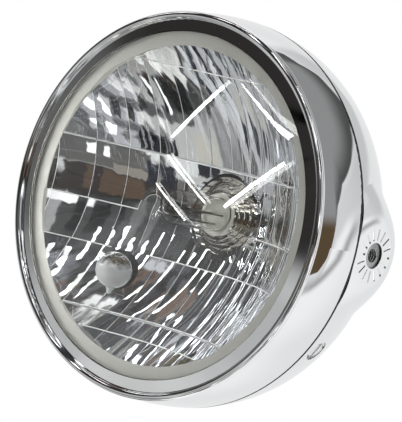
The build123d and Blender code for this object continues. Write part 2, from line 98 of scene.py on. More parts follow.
# Bowl, and the swelling up to each side pad, whose outer edge sinks a little into the bowl
BOWL_RADIUS = 0.095
BOWL_DEPTH = 0.072
SHOULDER = 0.0317
PAD_SETBACK = 0.0465
PAD_FACE = 0.0952
PAD_RADIUS = 0.0135
PAD_REACH = 0.034
PAD_TURNS = 96
PAD_RINGS = 16
SINK = 0.0001
HOLE_RADIUS = 0.0064
# Threads of the side nuts
THREAD_RADIUS = 0.0035
THREAD_WIRE = 0.0004
THREAD_PITCH = 0.00125
THREAD_TURNS = 7
THREAD_STEPS = 24
WIRE_ROUNDNESS = 2
LATHE_STEPS = 96
MILLIMETRE = 0.001

# Camera, as the photograph was taken
IMAGE_SIZE = (402, 422)
CAMERA_AZIMUTH = math.radians(39.2)
CAMERA_ELEVATION = math.radians(2.2)
CAMERA_ROLL = math.radians(13.1)
CAMERA_DISTANCE = 1.222
FOCAL_PIXELS = 2556.45
BEAD_PIXEL = (161.6, 204.4)
SENSOR = 36.0
CLIP_START = 0.01

# Floor of the studio, which fades out between two shares of its radius
FLOOR_DROP = 0.25
FLOOR_RADIUS = 0.8
FLOOR_STEPS = 96
FLOOR_COLOUR = (0.78, 0.78, 0.77)
FLOOR_GRAIN = 0.05
FLOOR_DRIFT = 0.02
FLOOR_FADE = (0.55, 0.98)
# Card that lights dull surfaces: middle, the point that it faces, half its side and its light
FILL_PLACE = (-0.15, -0.11, -0.02)
FILL_AIM = (-0.08, -0.04, -0.02)
FILL_HALF = 0.06
FILL_LIGHT = 10.0
# Tubes that the glass mirrors: distance from the glass, and light
STRIP_DISTANCE = 1.6
STRIP_RADIANCE = 28.0
LIGHT_BOUNCES = 24
# Depth above which a ray has left a dull surface
DULL_BOUNCE = 0.5
# Places of the colour sockets on a Mix node: factor, both colours and the result
MIX_FACTOR, MIX_FIRST, MIX_SECOND, MIX_RESULT = 0, 6, 7, 2


def camera_axes():
    """Right, up and back of the camera, before it is aimed at the middle of the picture."""
    back = Vector((
        math.sin(CAMERA_AZIMUTH) * math.cos(CAMERA_ELEVATION),
        -math.cos(CAMERA_AZIMUTH) * math.cos(CAMERA_ELEVATION),
        math.sin(CAMERA_ELEVATION),
    ))
    level = Vector((math.cos(CAMERA_AZIMUTH), math.sin(CAMERA_AZIMUTH), 0.0))
    upright = back.cross(level)
    cosine = math.cos(CAMERA_ROLL)
    sine = math.sin(CAMERA_ROLL)
    return cosine * level + sine * upright, cosine * upright - sine * level, back


RIGHT, UP, BACK = camera_axes()
EYE = Vector((0.0, BEAD_PLANE, 0.0)) + BACK * CAMERA_DISTANCE


def pixel_ray(column, row):
    """Direction from the camera through a pixel of the picture."""
    across = (column - BEAD_PIXEL[0]) / FOCAL_PIXELS
    down = (row - BEAD_PIXEL[1]) / FOCAL_PIXELS
    return (RIGHT * across - UP * down - BACK).normalized()


def add_camera():
    """Camera at the photograph's place, aimed at the middle of its frame."""
    back = -pixel_ray(IMAGE_SIZE[0] / 2, IMAGE_SIZE[1] / 2)
    right = (RIGHT - back * RIGHT.dot(back)).normalized()
    up = back.cross(right)
    data = bpy.data.cameras.new("camera")
    data.sensor_width = SENSOR
    data.lens = FOCAL_PIXELS * SENSOR / max(IMAGE_SIZE)
    data.clip_start = CLIP_START
    camera = bpy.data.objects.new("camera", data)
    turn = Matrix((right, up, back)).transposed().to_4x4()
    camera.matrix_world = Matrix.Translation(EYE) @ turn
    scene.collection.objects.link(camera)
    scene.camera = camera


class Nodes:
    """Short calls that add shader nodes to one tree and join them."""

    def __init__(self, tree, keep=False):
        self.tree = tree
        if not keep:
            self.tree.nodes.clear()

    def add(self, kind, **settings):
        node = self.tree.nodes.new(kind)
        for name, value in settings.items():
            setattr(node, name, value)
        return node

    def put(self, socket, value):
        """Joins a socket to an output, or sets it to a constant."""
        if isinstance(value, bpy.types.NodeSocket):
            self.tree.links.new(value, socket)
        elif isinstance(value, tuple) and len(value) == 3 and socket.type == "RGBA":
            socket.default_value = (*value, 1.0)
        else:
            socket.default_value = value

    def math(self, operation, first, second=0.0):
        node = self.add("ShaderNodeMath", operation=operation)
        self.put(node.inputs[0], first)
        self.put(node.inputs[1], second)
        return node.outputs[0]

    def ramp(self, value, low, high, start=0.0, end=1.0):
        """Value carried smoothly from low..high to start..end, held at both ends."""
        node = self.add("ShaderNodeMapRange", interpolation_type="SMOOTHSTEP")
        for name, entry in zip(
            ("Value", "From Min", "From Max", "To Min", "To Max"),
            (value, low, high, start, end),
        ):
            self.put(node.inputs[name], entry)
        return node.outputs["Result"]

    def band(self, value, low, high, soft):
        """One between low and high, falling to nothing over the soft width at each end."""
        rise = self.ramp(value, low - soft / 2, low + soft / 2)
        fall = self.ramp(value, high - soft / 2, high + soft / 2, 1.0, 0.0)
        return self.math("MULTIPLY", rise, fall)

    def curve(self, value, points):
        """Value carried along straight runs between points, given in rising order of the value."""
        (low, _), *_, (high, _) = points
        heights = [height for _, height in points]
        floor, top = min(heights), max(heights)
        node = self.add("ShaderNodeFloatCurve")
        line = node.mapping.curves[0]
        for number, (at, height) in enumerate(points):
            place = ((at - low) / (high - low), (height - floor) / (top - floor))
            if 0 < number < len(points) - 1:
                line.points.new(*place)
            else:
                line.points[0 if number == 0 else -1].location = place
        for point in line.points:
            point.handle_type = "VECTOR"
        node.mapping.update()
        share = self.math("DIVIDE", self.math("SUBTRACT", value, low), high - low)
        self.put(node.inputs["Value"], share)
        return self.math("ADD", self.math("MULTIPLY", node.outputs["Value"], top - floor), floor)

    def mix(self, factor, first, second):
        node = self.add("ShaderNodeMix", data_type="RGBA")
        self.put(node.inputs[MIX_FACTOR], factor)
        self.put(node.inputs[MIX_FIRST], first)
        self.put(node.inputs[MIX_SECOND], second)
        return node.outputs[MIX_RESULT]

    def scale(self, colour, factor):
        node = self.add("ShaderNodeVectorMath", operation="SCALE")
        self.put(node.inputs[0], colour)
        self.put(node.inputs["Scale"], factor)
        return node.outputs[0]

    def split(self, vector):
        node = self.add("ShaderNodeSeparateXYZ")
        self.put(node.inputs[0], vector)
        return node.outputs

    def join(self, x, y, z):
        node = self.add("ShaderNodeCombineXYZ")
        for socket, value in zip(node.inputs, (x, y, z)):
            self.put(socket, value)
        return node.outputs[0]

    def noise(self, vector, size, detail=3.0):
        """Noise whose patches are about one size across."""
        node = self.add("ShaderNodeTexNoise")
        self.put(node.inputs["Vector"], vector)
        node.inputs["Scale"].default_value = 1.0 / size
        node.inputs["Detail"].default_value = detail
        return node.outputs["Fac"]

    def length(self, first, second):
        """Length of a line that runs so far along two square axes."""
        squares = self.math("ADD", self.math("POWER", first, 2.0), self.math("POWER", second, 2.0))
        return self.math("SQRT", squares)

    def radius(self, vector):
        """Distance from the lamp's axis."""
        x, _, z = self.split(vector)
        return self.length(x, z)

    def surface(self, shader, output="ShaderNodeOutputMaterial"):
        """Makes a shader the tree's result."""
        self.put(self.add(output).inputs["Surface"], shader.outputs[0])


def node_material(name):
    """Empty material, and the maker of its nodes."""
    material = bpy.data.materials.new(name)
    material.use_nodes = True
    return material, Nodes(material.node_tree)


def shader_of(material):
    """Principled shader of a finished material."""
    return next(node for node in material.node_tree.nodes if node.type == "BSDF_PRINCIPLED")


def shade(colour, factor):
    """Colour made darker or lighter, within the range of a pigment."""
    return tuple(min(1.0, part * factor) for part in colour[:3])


GLASS_INDEX = 1.5
THIN_GLASS_INDEX = 1.18

# Finish of each material slot: metal or not, range of roughness, drift of colour, size of the grain and
# depth of its bump in metres; turned finishes carry fine rings round the lamp's axis, and clear ones have an
# index of refraction
FINISHES = {
    "bucket_chrome": dict(metallic=1.0, rough=(0.025, 0.06), drift=0.02, grain=0.03, bump=0.0),
    "rim_chrome": dict(metallic=1.0, rough=(0.025, 0.06), drift=0.02, grain=0.03, bump=0.0),
    "screw_chrome": dict(metallic=1.0, rough=(0.08, 0.2), drift=0.06, grain=0.002, bump=0.0),
    "black_rubber": dict(metallic=0.0, rough=(0.55, 0.8), drift=0.35, grain=0.0008, bump=0.00003),
    "sealant": dict(metallic=0.0, rough=(0.4, 0.65), drift=0.2, grain=0.002, bump=0.00005),
    "reflector_mirror": dict(metallic=1.0, rough=(0.01, 0.03), drift=0.03, grain=0.02, bump=0.0),
    "spring_steel": dict(metallic=1.0, rough=(0.2, 0.4), drift=0.15, grain=0.001, bump=0.000005),
    "zinc_steel": dict(metallic=1.0, rough=(0.25, 0.5), drift=0.18, grain=0.002, bump=0.00001),
    "nut_steel": dict(metallic=1.0, rough=(0.25, 0.5), drift=0.3, grain=0.001, bump=0.00001),
    "bulb_metal": dict(metallic=1.0, rough=(0.05, 0.13), drift=0.05, grain=0.0004, bump=0.0, turned=True),
    "filament_wire": dict(metallic=1.0, rough=(0.3, 0.5), drift=0.2, grain=0.0004, bump=0.0),
    "insulator_ceramic": dict(metallic=0.0, rough=(0.5, 0.7), drift=0.25, grain=0.001, bump=0.00002),
    "terminal_brass": dict(metallic=1.0, rough=(0.25, 0.45), drift=0.15, grain=0.002, bump=0.000005),
    "cap_brass": dict(metallic=1.0, rough=(0.18, 0.35), drift=0.3, grain=0.002, bump=0.0004),
    "lens_glass": dict(metallic=0.0, rough=(0.0, 0.004), drift=0.01, grain=0.02, bump=0.0, clear=GLASS_INDEX),
    "bulb_glass": dict(
        metallic=0.0, rough=(0.0, 0.01), drift=0.01, grain=0.004, bump=0.0, clear=THIN_GLASS_INDEX
    ),
}
# Wide grain under the fine one, as a multiple of its size and a share of the colour's drift
WIDE_GRAIN = 9.0
WIDE_SHARE = 0.6
NOISE_SPAN = (0.3, 0.7)
NOISE_MIDDLE = 0.5
# Places whose finish differs from their slot
EDGE_BLUR = 0.0002
DULL_ROUGHNESS = (0.32,) * 3
LEDGE_COLOUR = (0.52, 0.51, 0.475)
LEDGE_ROUGHNESS = (0.45,) * 3
MIRROR_COLOUR = (0.89, 0.9, 0.925)
# Pale colour of the cells' rounded edges: painted highlights along the mirror's ridges
RIDGE_HIGHLIGHT_COLOUR = (0.96, 0.96, 0.95)
RIDGE_HIGHLIGHT_FINISH = dict(metallic=0.0, rough=(0.25, 0.4), drift=0.04, grain=0.002, bump=0.0)
COLLAR_FACE = -0.00389
COLLAR_SLACK = 0.0004
COLLAR_RADIUS = 0.0104
COLLAR_COLOUR = (0.56, 0.55, 0.49)
# Painted shade: near-black on the walls of the side mounts' holes
HOLE_PAINTED_SHADE = (0.04, 0.04, 0.042)
MILK_COLOUR = (0.62, 0.63, 0.63)
MILK_CLEAR = 0.3
MILK_TOP = (0.0005, 0.0055)
MILK_WANDER = 0.006
MILK_GRAIN = 0.003
DULL_BRASS = 0.4


def finish_material(slot, colour, metallic, rough, drift, grain, bump, turned=False, clear=0.0):
    """Material of one slot: colour and roughness drift with the grain, and the grain stands in the bump."""
    material, make = node_material(slot)
    place = make.add("ShaderNodeTexCoord").outputs["Object"]
    if turned:
        along = make.split(place)[1]
        place = make.join(make.radius(place), along, 0.0)
    fine = make.noise(place, grain)
    wide = make.noise(place, grain * WIDE_GRAIN)
    wide_part = make.math("MULTIPLY", wide, WIDE_SHARE)
    fine_part = make.math("MULTIPLY", fine, 1.0 - WIDE_SHARE)
    blend = make.ramp(make.math("ADD", wide_part, fine_part), *NOISE_SPAN)
    shader = make.add("ShaderNodeBsdfPrincipled")
    paint = make.mix(blend, shade(colour, 1.0 - drift), shade(colour, 1.0 + drift))
    make.put(shader.inputs["Base Color"], paint)
    make.put(shader.inputs["Roughness"], make.ramp(fine, *NOISE_SPAN, *rough))
    shader.inputs["Metallic"].default_value = metallic
    if clear:
        shader.inputs["Transmission Weight"].default_value = 1.0
        shader.inputs["IOR"].default_value = clear
    if bump:
        raised = make.add("ShaderNodeBump")
        raised.inputs["Strength"].default_value = 1.0
        raised.inputs["Distance"].default_value = bump
        make.put(raised.inputs["Height"], fine)
        make.put(shader.inputs["Normal"], raised.outputs["Normal"])
    make.surface(shader)
    return material


def overlay(material, mask, sockets):
    """Other values for some sockets of a finished material's shader, where the mask is one."""
    make = Nodes(material.node_tree, keep=True)
    shader = shader_of(material)
    factor = mask(make, make.add("ShaderNodeTexCoord").outputs["Object"])
    for name, value in sockets.items():
        socket = shader.inputs[name]
        if isinstance(value, tuple):
            make.put(socket, make.mix(factor, socket.links[0].from_socket, value))
        else:
            make.put(socket, make.ramp(factor, 0.0, 1.0, socket.default_value, value))
    return material


def within(make, value, limit):
    """One below the limit and nothing just above it."""
    return make.ramp(value, limit, limit + EDGE_BLUR, 1.0, 0.0)


def on_ledge(make, place):
    """The flat ring round the mirror."""
    return make.ramp(make.radius(place), MIRROR_EDGE - EDGE_BLUR, MIRROR_EDGE + EDGE_BLUR)


def on_collar_face(make, place):
    """The flat front of the main bulb's collar."""
    depth = make.split(place)[1]
    flat = make.band(depth, COLLAR_FACE - COLLAR_SLACK, COLLAR_FACE + COLLAR_SLACK, EDGE_BLUR)
    return make.math("MULTIPLY", flat, within(make, make.radius(place), COLLAR_RADIUS))


def below_clear_cap(make, place):
    """The globe is milky below its clear top."""
    middle = position_globe()[2]
    low, high = MILK_TOP
    grain = make.math("SUBTRACT", make.noise(place, MILK_GRAIN), NOISE_MIDDLE)
    wander = make.math("MULTIPLY", grain, MILK_WANDER)
    height = make.math("ADD", make.split(place)[2], wander)
    return make.ramp(height, middle + low, middle + high, 1.0, 0.0)


def painted_hole_shade(make, place):
    """The wall of each mount's hole, below the pad's face, where near-black is painted as shade."""
    side, along, up = make.split(place)
    along = make.math("SUBTRACT", along, PAD_SETBACK - DEPTH_ORIGIN)
    below = within(make, make.math("ABSOLUTE", side), PAD_FACE - 2 * EDGE_BLUR)
    return make.math("MULTIPLY", below, within(make, make.length(along, up), HOLE_RADIUS))


def position_globe():
    """Centre of the position bulb's globe."""
    low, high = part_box("position_glass")
    return high[0] - GLOBE_RADIUS, low[1] + GLOBE_RADIUS, low[2] + GLOBE_RADIUS


def dress_nodes():
    """Every CAD node takes the finish of its slot, or one of its own where parts of it differ."""
    colours = {entry["slot"]: entry["base_color"] for entry in frame["record"]["materials"]}
    materials = {slot: finish_material(slot, colours[slot], **finish) for slot, finish in FINISHES.items()}
    mirror = finish_material("reflector_mirror", MIRROR_COLOUR, **FINISHES["reflector_mirror"])
    special = {
        # The bucket's chrome gets painted shade, near-black, on the walls of its mount holes
        "bucket": overlay(
            materials["bucket_chrome"],
            painted_hole_shade,
            {"Base Color": HOLE_PAINTED_SHADE, "Roughness": DULL_ROUGHNESS},
        ),
        "reflector": overlay(
            mirror, on_ledge, {"Base Color": LEDGE_COLOUR, "Roughness": LEDGE_ROUGHNESS, "Metallic": 0.0}
        ),
        "bulb_cap": overlay(
            finish_material("bulb_collar", colours["bulb_metal"], **FINISHES["bulb_metal"]),
            on_collar_face,
            {"Base Color": COLLAR_COLOUR, "Roughness": DULL_ROUGHNESS, "Metallic": 0.0},
        ),
        "position_glass": overlay(
            finish_material("position_glass", colours["bulb_glass"], **FINISHES["bulb_glass"]),
            below_clear_cap,
            {"Base Color": MILK_COLOUR, "Roughness": DULL_ROUGHNESS, "Transmission Weight": MILK_CLEAR},
        ),
        "position_cap": finish_material(
            "position_cap", shade(colours["cap_brass"], DULL_BRASS), **FINISHES["cap_brass"]
        ),
    }
    shader_of(special["position_glass"]).inputs["Coat Weight"].default_value = 1.0
    for entry in frame["record"]["subparts"]:
        mesh = nodes[entry["node"]].data
        mesh.materials.clear()
        mesh.materials.append(special.get(entry["node"], materials[entry["material_slot"]]))
    return {**materials, **special}


WHITE = (1.0, 1.0, 1.0)
# Things of the studio that only metal and glass show, later ones over earlier ones: range of azimuth from the
# front and of elevation in degrees, softness of the edges, and colour. Azimuth grows to the right.
PATCHES = (
    (-82, 92, -90, -20, 8.0, (0.62, 0.62, 0.61)),
    (-82, 20, -20, -7, 6.0, (0.5, 0.5, 0.5)),
    (-14, 5, -20, -5, 2.0, (0.2, 0.19, 0.175)),
    (5, 22, -20, -5, 2.0, (0.06, 0.055, 0.055)),
    (-82, 92, -6, 85, 7.0, (0.03, 0.028, 0.027)),
    (-14, 30, 4, 36, 5.0, (0.09, 0.09, 0.092)),
    (-84, -52, -10, 12, 10.0, (0.13, 0.13, 0.125)),
    (-80, 80, 40, 85, 4.0, (0.075, 0.075, 0.085)),
    (-44, -22, 48, 72, 2.0, (0.03, 0.03, 0.034)),
    (-66, -40, 42, 58, 2.0, (0.2, 0.14, 0.11)),
    (-8, 16, 47, 59, 1.5, (0.11, 0.07, 0.05)),
    (-20, 4, 37, 47, 1.5, (0.45, 0.45, 0.48)),
    (-14, 14, 64, 78, 2.0, (0.9, 0.9, 0.9)),
    (40, 82, 40, 70, 3.0, (0.15, 0.15, 0.165)),
    (26, 38, 46, 58, 1.5, (0.02, 0.02, 0.022)),
    (38, 56, 56, 68, 1.5, (0.12, 0.07, 0.055)),
    (18, 57, 3, 38, 3.0, (0.075, 0.08, 0.08)),
    (22, 32, 6, 34, 3.0, (0.2, 0.2, 0.2)),
    (38, 50, 10, 27, 1.5, (0.025, 0.03, 0.03)),
    (57, 80, 3, 30, 2.0, (0.55, 0.56, 0.56)),
    (50, 78, 5, 11, 1.2, (1.6, 1.6, 1.6)),
    (20, 60, -13, 3, 1.2, (0.06, 0.052, 0.05)),
    (27, 49, -12, 1, 1.2, (0.14, 0.1, 0.075)),
    (22, 76, -31, -13, 2.0, (0.17, 0.165, 0.16)),
    (22, 42, -19, -13, 1.0, (0.36, 0.33, 0.29)),
    (46, 50, -27, -21, 0.8, (1.6, 1.6, 1.6)),
    (-8, 16, -37, -25, 1.2, (0.85, 0.85, 0.85)),
    (10, 26, -27, -12, 1.2, (0.045, 0.046, 0.058)),
    (4, 32, -46, -37, 1.2, (0.03, 0.03, 0.035)),
    (33, 66, -62, -34, 2.0, (0.4, 0.4, 0.42)),
    (36, 42, -54, -46, 0.8, (0.06, 0.06, 0.065)),
    (44, 52, -51, -44, 0.8, (2.0, 2.0, 2.0)),
    (40, 50, -40, -37, 0.8, (1.8, 1.8, 1.8)),
    (30, 40, -72, -60, 1.0, (0.9, 0.9, 0.9)),
    (-20, 28, -61, -54, 1.5, (0.13, 0.13, 0.13)),
    (-42, 6, -73, -59, 1.5, (0.012, 0.012, 0.012)),
    (-3, 2, -72, -58, 0.8, (1.8, 1.8, 1.8)),
    (-32, -9, -50, -37, 1.2, (0.66, 0.64, 0.58)),
    (-30, -9, -36, -26, 1.5, (0.05, 0.05, 0.06)),
    (-75, -26, -80, -73, 1.5, (1.8, 1.8, 1.75)),
    (-75, -44, -73, -66, 1.5, (1.2, 1.2, 1.15)),
    (-75, -36, -66, -56, 2.0, (0.06, 0.06, 0.06)),
    (-75, -36, -56, -26, 4.0, (0.3, 0.3, 0.3)),
    (-142, -98, -62, -40, 4.0, (0.03, 0.03, 0.03)),
)
# Bright tubes among them: azimuth, and range of elevation
CEILING_TUBES = (
    (52.0, 36.0, 72.0),
    (31.0, 20.0, 66.0),
    (8.0, 22.0, 50.0),
    (-16.0, 30.0, 62.0),
    (-44.0, 34.0, 66.0),
    (-58.0, 22.0, 40.0),
    (-31.0, 20.0, 38.0),
    (41.0, 24.0, 44.0),
    (20.0, 30.0, 56.0),
)
CEILING_TUBE_HALF = 1.4
CEILING_TUBE_SOFT = 0.8
CEILING_TUBE_LIGHT = 4.0
# How far the edges of these things wander, over what angle, and the layer of the noise for elevation
WARP = 8.0
WARP_SIZE = 9.0
WARP_LAYER = 9.0
# Where spots break them up: ranges of azimuth and elevation, size of the spots in both, and how dark and
# light they are
CLUTTER = ((16, 82, -90, -30), (-40, 82, 36, 90))
CLUTTER_SIZE = (19.0, 7.0)
CLUTTER_DETAIL = 2.0
CLUTTER_STEP = (0.45, 0.55)
CLUTTER_RANGE = (0.4, 1.5)
CLUTTER_SOFT = 4.0

# Grey card behind the lamp, which the rim's side mirrors: its lower edge, as azimuth from the rear and
# elevation, the sides, the shade just above the edge and further up, and the brown foot that it stands on
CARD_EDGE = (
    (-30, 47), (-14, 43), (-11, 37.5), (0, 35), (13, 33), (20, 30.5), (26.5, 28), (33, 25.5), (41.5, 22),
    (44.5, 18), (47.5, 14), (48.5, 9), (49.0, 2), (50.0, -7), (52.0, -13), (56, -18), (66, -20),
)
CARD_EDGE_SOFT = (-0.4, 0.6)
CARD_SIDES = (-24.0, 62.0)
CARD_SIDES_SOFT = 6.0
CARD_SHADE = (0.08, 0.3)
CARD_FADE = 12.0
CARD_FOOT = (0.105, 0.072, 0.04)
CARD_FOOT_TOP = (5.0, 12.0)
# Wall behind it, as azimuth, elevation and softness; the haze below the card; a dark streak from end to end
REAR_TONE = 0.86
REAR_SIDES = (-50.0, 34.0, 26.0)
REAR_HEIGHTS = (-46.0, 40.0, 20.0)
HAZE = 0.72
HAZE_WIDTH = 14.0
STREAK = ((34.0, 9.0), (52.0, -22.0))
STREAK_ENDS_SOFT = 12.0
STREAK_WIDTH = 1.8
STREAK_SOFT = 5.0
STREAK_SHADE = 0.36


def front_things(make, azimuth, height):
    """Colour of the studio in front of the lamp and beside it."""
    def wavy(value, layer):
        """Angle that wanders a little from place to place, so that the patches have uneven edges."""
        across = make.math("DIVIDE", azimuth, WARP_SIZE)
        up = make.math("DIVIDE", height, WARP_SIZE)
        wander = make.math("SUBTRACT", make.noise(make.join(across, up, layer), 1.0), NOISE_MIDDLE)
        return make.math("ADD", value, make.math("MULTIPLY", wander, WARP))

    side = wavy(azimuth, 0.0)
    level = wavy(height, WARP_LAYER)

    def inside(left, right, low, high, soft):
        return make.math("MULTIPLY", make.band(side, left, right, soft), make.band(level, low, high, soft))

    colour = WHITE
    for left, right, low, high, soft, paint in PATCHES:
        colour = make.mix(inside(left, right, low, high, soft), colour, paint)
    for middle, low, high in CEILING_TUBES:
        left, right = middle - CEILING_TUBE_HALF, middle + CEILING_TUBE_HALF
        tube = inside(left, right, low, high, CEILING_TUBE_SOFT)
        colour = make.mix(tube, colour, (CEILING_TUBE_LIGHT,) * 3)
    across = make.math("DIVIDE", azimuth, CLUTTER_SIZE[0])
    up = make.math("DIVIDE", height, CLUTTER_SIZE[1])
    spots = make.noise(make.join(across, up, 0.0), 1.0, CLUTTER_DETAIL)
    busy = make.ramp(spots, *CLUTTER_STEP, *CLUTTER_RANGE)
    where = 0.0
    for left, right, low, high in CLUTTER:
        where = make.math("MAXIMUM", where, inside(left, right, low, high, CLUTTER_SOFT))
    busy = make.math("ADD", make.math("MULTIPLY", where, make.math("SUBTRACT", busy, 1.0)), 1.0)
    return make.scale(colour, busy)


def rear_things(make, azimuth, height, colour):
    """The colour with the wall, the haze, the streak and the card behind the lamp over it."""
    wall = make.math("MULTIPLY", make.band(azimuth, *REAR_SIDES), make.band(height, *REAR_HEIGHTS))
    colour = make.mix(wall, colour, (REAR_TONE,) * 3)
    across_card = make.band(azimuth, *CARD_SIDES, CARD_SIDES_SOFT)
    above = make.math("SUBTRACT", height, make.curve(azimuth, CARD_EDGE))
    haze = make.math("MULTIPLY", make.band(above, -HAZE_WIDTH, 0.0, HAZE_WIDTH / 2), across_card)
    colour = make.mix(haze, colour, make.scale(colour, HAZE))
    (start_azimuth, start_height), (end_azimuth, end_height) = STREAK
    lean = (end_azimuth - start_azimuth) / (end_height - start_height)
    line = make.math("ADD", make.math("MULTIPLY", height, lean), start_azimuth - lean * start_height)
    aside = make.math("SUBTRACT", azimuth, line)
    streak = make.math(
        "MULTIPLY",
        make.band(aside, -STREAK_WIDTH, STREAK_WIDTH, STREAK_SOFT),
        make.band(height, end_height, start_height, STREAK_ENDS_SOFT),
    )
    colour = make.mix(streak, colour, (STREAK_SHADE,) * 3)
    grey = make.ramp(above, 0.0, CARD_FADE, *CARD_SHADE)
    foot = make.ramp(height, *CARD_FOOT_TOP, 1.0, 0.0)
    paint = make.mix(foot, make.join(grey, grey, grey), CARD_FOOT)
    card = make.math("MULTIPLY", across_card, make.ramp(above, *CARD_EDGE_SOFT))
    return make.mix(card, colour, paint)


def studio_world():
    """Plain white light; metal and glass also show the studio's darker things."""
    world = bpy.data.worlds.new("studio")
    world.use_nodes = True
    world.cycles.sampling_method = "NONE"
    scene.world = world
    make = Nodes(world.node_tree)
    x, y, z = make.split(make.add("ShaderNodeTexCoord").outputs["Generated"])
    ahead = make.math("MULTIPLY", y, -1.0)
    from_front = make.math("DEGREES", make.math("ARCTAN2", x, ahead))
    from_rear = make.math("DEGREES", make.math("ARCTAN2", x, y))
    height = make.math("DEGREES", make.math("ARCSINE", z))
    colour = rear_things(make, from_rear, height, front_things(make, from_front, height))
    rays = make.add("ShaderNodeLightPath").outputs
    mirrored = make.math("MAXIMUM", rays["Is Glossy Ray"], rays["Is Transmission Ray"])
    mirrored = make.math("MULTIPLY", mirrored, make.math("LESS_THAN", rays["Diffuse Depth"], DULL_BOUNCE))
    background = make.add("ShaderNodeBackground")
    make.put(background.inputs["Color"], make.mix(mirrored, WHITE, colour))
    make.surface(background, "ShaderNodeOutputWorld")


def new_mesh(name, points, faces):
    """Object with a mesh of its own, in the scene."""
    mesh = bpy.data.meshes.new(name)
    mesh.from_pydata([tuple(point) for point in points], [], faces)
    mesh.update()
    thing = bpy.data.objects.new(name, mesh)
    scene.collection.objects.link(thing)
    return thing


def add_floor():
    """Pale round floor under the lamp that fades into the white background at its edge."""
    height = cad_box[0][2] - FLOOR_DROP
    angles = [step * math.tau / FLOOR_STEPS for step in range(FLOOR_STEPS)]
    points = [(FLOOR_RADIUS * math.cos(angle), FLOOR_RADIUS * math.sin(angle), height) for angle in angles]
    floor = new_mesh("floor", points, [tuple(range(FLOOR_STEPS))])
    material, make = node_material("floor")
    place = make.add("ShaderNodeTexCoord").outputs["Object"]
    x, y, _ = make.split(place)
    pale, dark = shade(FLOOR_COLOUR, 1.0 + FLOOR_DRIFT), shade(FLOOR_COLOUR, 1.0 - FLOOR_DRIFT)
    diffuse = make.add("ShaderNodeBsdfDiffuse")
    make.put(diffuse.inputs["Color"], make.mix(make.noise(place, FLOOR_GRAIN), dark, pale))
    blend = make.add("ShaderNodeMixShader")
    fade = [FLOOR_RADIUS * share for share in FLOOR_FADE]
    make.put(blend.inputs[0], make.ramp(make.length(x, y), *fade))
    make.put(blend.inputs[1], diffuse.outputs[0])
    make.put(blend.inputs[2], make.add("ShaderNodeEmission").outputs[0])
    make.surface(blend)
    floor.data.materials.append(material)
    floor.visible_glossy = False
    floor.visible_transmission = False


def add_fill():
    """Soft card beside the lens that lights only dull surfaces, such as the pale ring round the mirror."""
    ahead = (Vector(FILL_AIM) - Vector(FILL_PLACE)).normalized()
    across = ahead.cross(Vector((0.0, 0.0, 1.0))).normalized()
    upright = across.cross(ahead)
    corners = [
        Vector(FILL_PLACE) + (across * right + upright * top) * FILL_HALF
        for right, top in ((-1, -1), (1, -1), (1, 1), (-1, 1))
    ]
    fill = new_mesh("fill", corners, [(0, 1, 2, 3)])
    material, make = node_material("fill")
    glow = make.add("ShaderNodeEmission")
    glow.inputs["Strength"].default_value = FILL_LIGHT
    blend = make.add("ShaderNodeMixShader")
    depth = make.add("ShaderNodeLightPath").outputs["Diffuse Depth"]
    make.put(blend.inputs[0], make.math("GREATER_THAN", depth, DULL_BOUNCE))
    make.put(blend.inputs[1], make.add("ShaderNodeBsdfTransparent").outputs[0])
    make.put(blend.inputs[2], glow.outputs[0])
    make.surface(blend)
    fill.data.materials.append(material)
    fill.visible_camera = False
    fill.visible_shadow = False


def paraboloid(x, z):
    """Depth of the smooth mirror that the cells follow."""
    return MIRROR_VERTEX - (x * x + z * z) / (4 * FOCAL_LENGTH)


def row_arc(z, low, high):
    """Depth on the arc from the bottom to the top of a row, at the middle column."""
    middle = (low + high) / 2
    (z1, y1), (z2, y2), (z3, y3) = ((at, paraboloid(0, at)) for at in (low, middle, high))
    first = (z2 * z2 - z1 * z1 + y2 * y2 - y1 * y1) / 2
    second = (z3 * z3 - z2 * z2 + y3 * y3 - y2 * y2) / 2
    turn = (z2 - z1) * (y3 - y2) - (z3 - z2) * (y2 - y1)
    centre_z = (first * (y3 - y2) - second * (y2 - y1)) / turn
    centre_y = (second * (z2 - z1) - first * (z3 - z2)) / turn
    radius = math.hypot(z1 - centre_z, y1 - centre_y)
    return centre_y + math.sqrt(radius * radius - (z - centre_z) ** 2)


def flute(x, column):
    """Depth across a column, from its left edge to its right."""
    left = column * COLUMN_WIDTH
    share = (x - left) / COLUMN_WIDTH
    start = -left * left / (4 * FOCAL_LENGTH)
    end = -((left + COLUMN_WIDTH) ** 2) / (4 * FOCAL_LENGTH)
    return start + (end - start) * share + 4 * FLUTE_DEPTH * share * (1 - share)


def on_mirror(x, z):
    """Whether the mirror is whole at this place: inside its edge and clear of both bulbs' holes."""
    radius = math.hypot(x, z)
    gap = math.hypot(x - POSITION_PLACE[0], z - POSITION_PLACE[1])
    return NECK_RADIUS < radius < MIRROR_EDGE and gap > POSITION_BORE * BORE_MARGIN


CELL_COLUMNS = range(-math.ceil(MIRROR_EDGE / COLUMN_WIDTH), math.ceil(MIRROR_EDGE / COLUMN_WIDTH))
CELL_ROWS = range(len(ROW_LINES) - 1)


def column_lines():
    """Upright lines along the front edges of the cells."""
    for column in CELL_COLUMNS:
        x = column * COLUMN_WIDTH
        for row in CELL_ROWS:
            low, high = ROW_LINES[row], ROW_LINES[row + 1]
            heights = [low + (high - low) * step / RIDGE_STEPS for step in range(RIDGE_STEPS + 1)]
            yield [(x, row_arc(z, low, high) + flute(x, column) + ROW_STEP * (row % 2), z) for z in heights]


def row_lines():
    """Level lines along the front edges of the cells."""
    for row in CELL_ROWS[1:]:
        z = ROW_LINES[row]
        for column in CELL_COLUMNS:
            places = [(column + step / RIDGE_STEPS) * COLUMN_WIDTH for step in range(RIDGE_STEPS + 1)]
            yield [(x, paraboloid(0, z) + flute(x, column) + COLUMN_STEP * (column % 2), z) for x in places]


